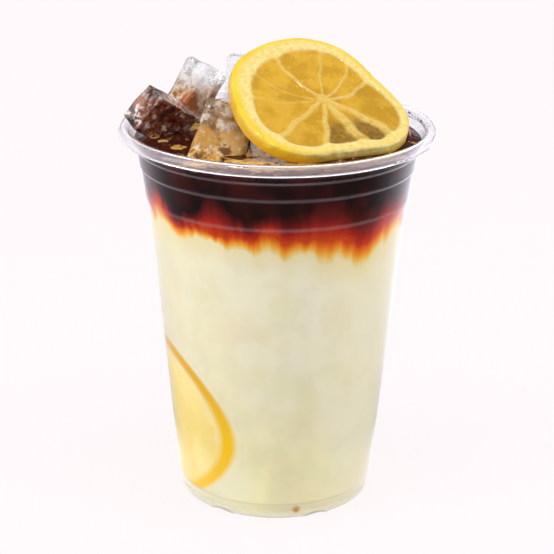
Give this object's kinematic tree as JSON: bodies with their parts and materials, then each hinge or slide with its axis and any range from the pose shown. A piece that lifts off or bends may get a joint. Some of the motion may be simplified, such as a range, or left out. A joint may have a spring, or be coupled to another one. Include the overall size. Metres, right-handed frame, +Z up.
{
  "type": "iced lemon espresso in a plastic cup",
  "caption": "Clear plastic takeaway cup of iced lemon espresso: dark espresso over pale lemonade, ice blocks at the top, a lemon slice laid across them and another sunk at the wall.",
  "frame": {"origin": "centre of the cup's foot, on the surface it stands on", "axes": "+Z up through the mouth of the cup; -Y is the front, where the sunk lemon slice shows at the left"},
  "size_m": [0.098, 0.098, 0.1426],
  "materials": {
    "clear_plastic": "clear thin plastic, glossy",
    "lemonade": "cloudy pale yellow drink",
    "espresso": "dark coffee, glossy at the surface",
    "lemon": "wet lemon flesh with a yellow rind",
    "ice": "clear wet ice"
  },
  "bodies": {
    "root": {"cup": "clear_plastic", "lemonade": "lemonade", "espresso": "espresso", "lemon_slice_top": "lemon", "lemon_slice_sunk": "lemon", "ice_left": "ice", "ice_tall": "ice", "ice_back": "ice", "ice_front": "ice", "ice_low": "ice", "ice_right": "ice"}
  },
  "joints": []
}
